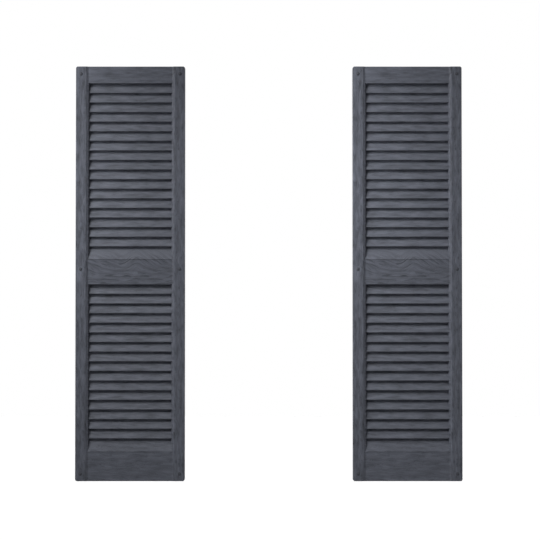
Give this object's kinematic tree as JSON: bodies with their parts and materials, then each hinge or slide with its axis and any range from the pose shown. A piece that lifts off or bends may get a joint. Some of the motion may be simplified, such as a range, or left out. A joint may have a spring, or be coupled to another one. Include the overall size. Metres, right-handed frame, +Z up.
{
  "type": "pair of fixed louvred shutters",
  "caption": "Pair of one-piece moulded wall shutters with fixed louvres above and below a middle rail, open ribbed backs and push-in wall fasteners.",
  "frame": {"origin": "on the wall plane, midway between the two shutters, level with their bottom edges", "axes": "+Z up along the shutters' height, +Y into the wall, +X to the right as seen from the front, so the louvred faces look along -Y"},
  "size_m": [1.3016, 0.0785, 1.397],
  "materials": {
    "shutter_plastic": "slate grey moulded plastic with an embossed wood grain, low sheen",
    "fastener_plastic": "slate grey moulded plastic, smooth, low sheen"
  },
  "bodies": {
    "root": {"shutter_left": "shutter_plastic", "shutter_right": "shutter_plastic", "fastener_left_top_outer": "fastener_plastic", "fastener_left_top_inner": "fastener_plastic", "fastener_left_middle_outer": "fastener_plastic", "fastener_left_middle_inner": "fastener_plastic", "fastener_left_bottom_outer": "fastener_plastic", "fastener_left_bottom_inner": "fastener_plastic", "fastener_right_top_outer": "fastener_plastic", "fastener_right_top_inner": "fastener_plastic", "fastener_right_middle_outer": "fastener_plastic", "fastener_right_middle_inner": "fastener_plastic", "fastener_right_bottom_outer": "fastener_plastic", "fastener_right_bottom_inner": "fastener_plastic"}
  },
  "joints": []
}
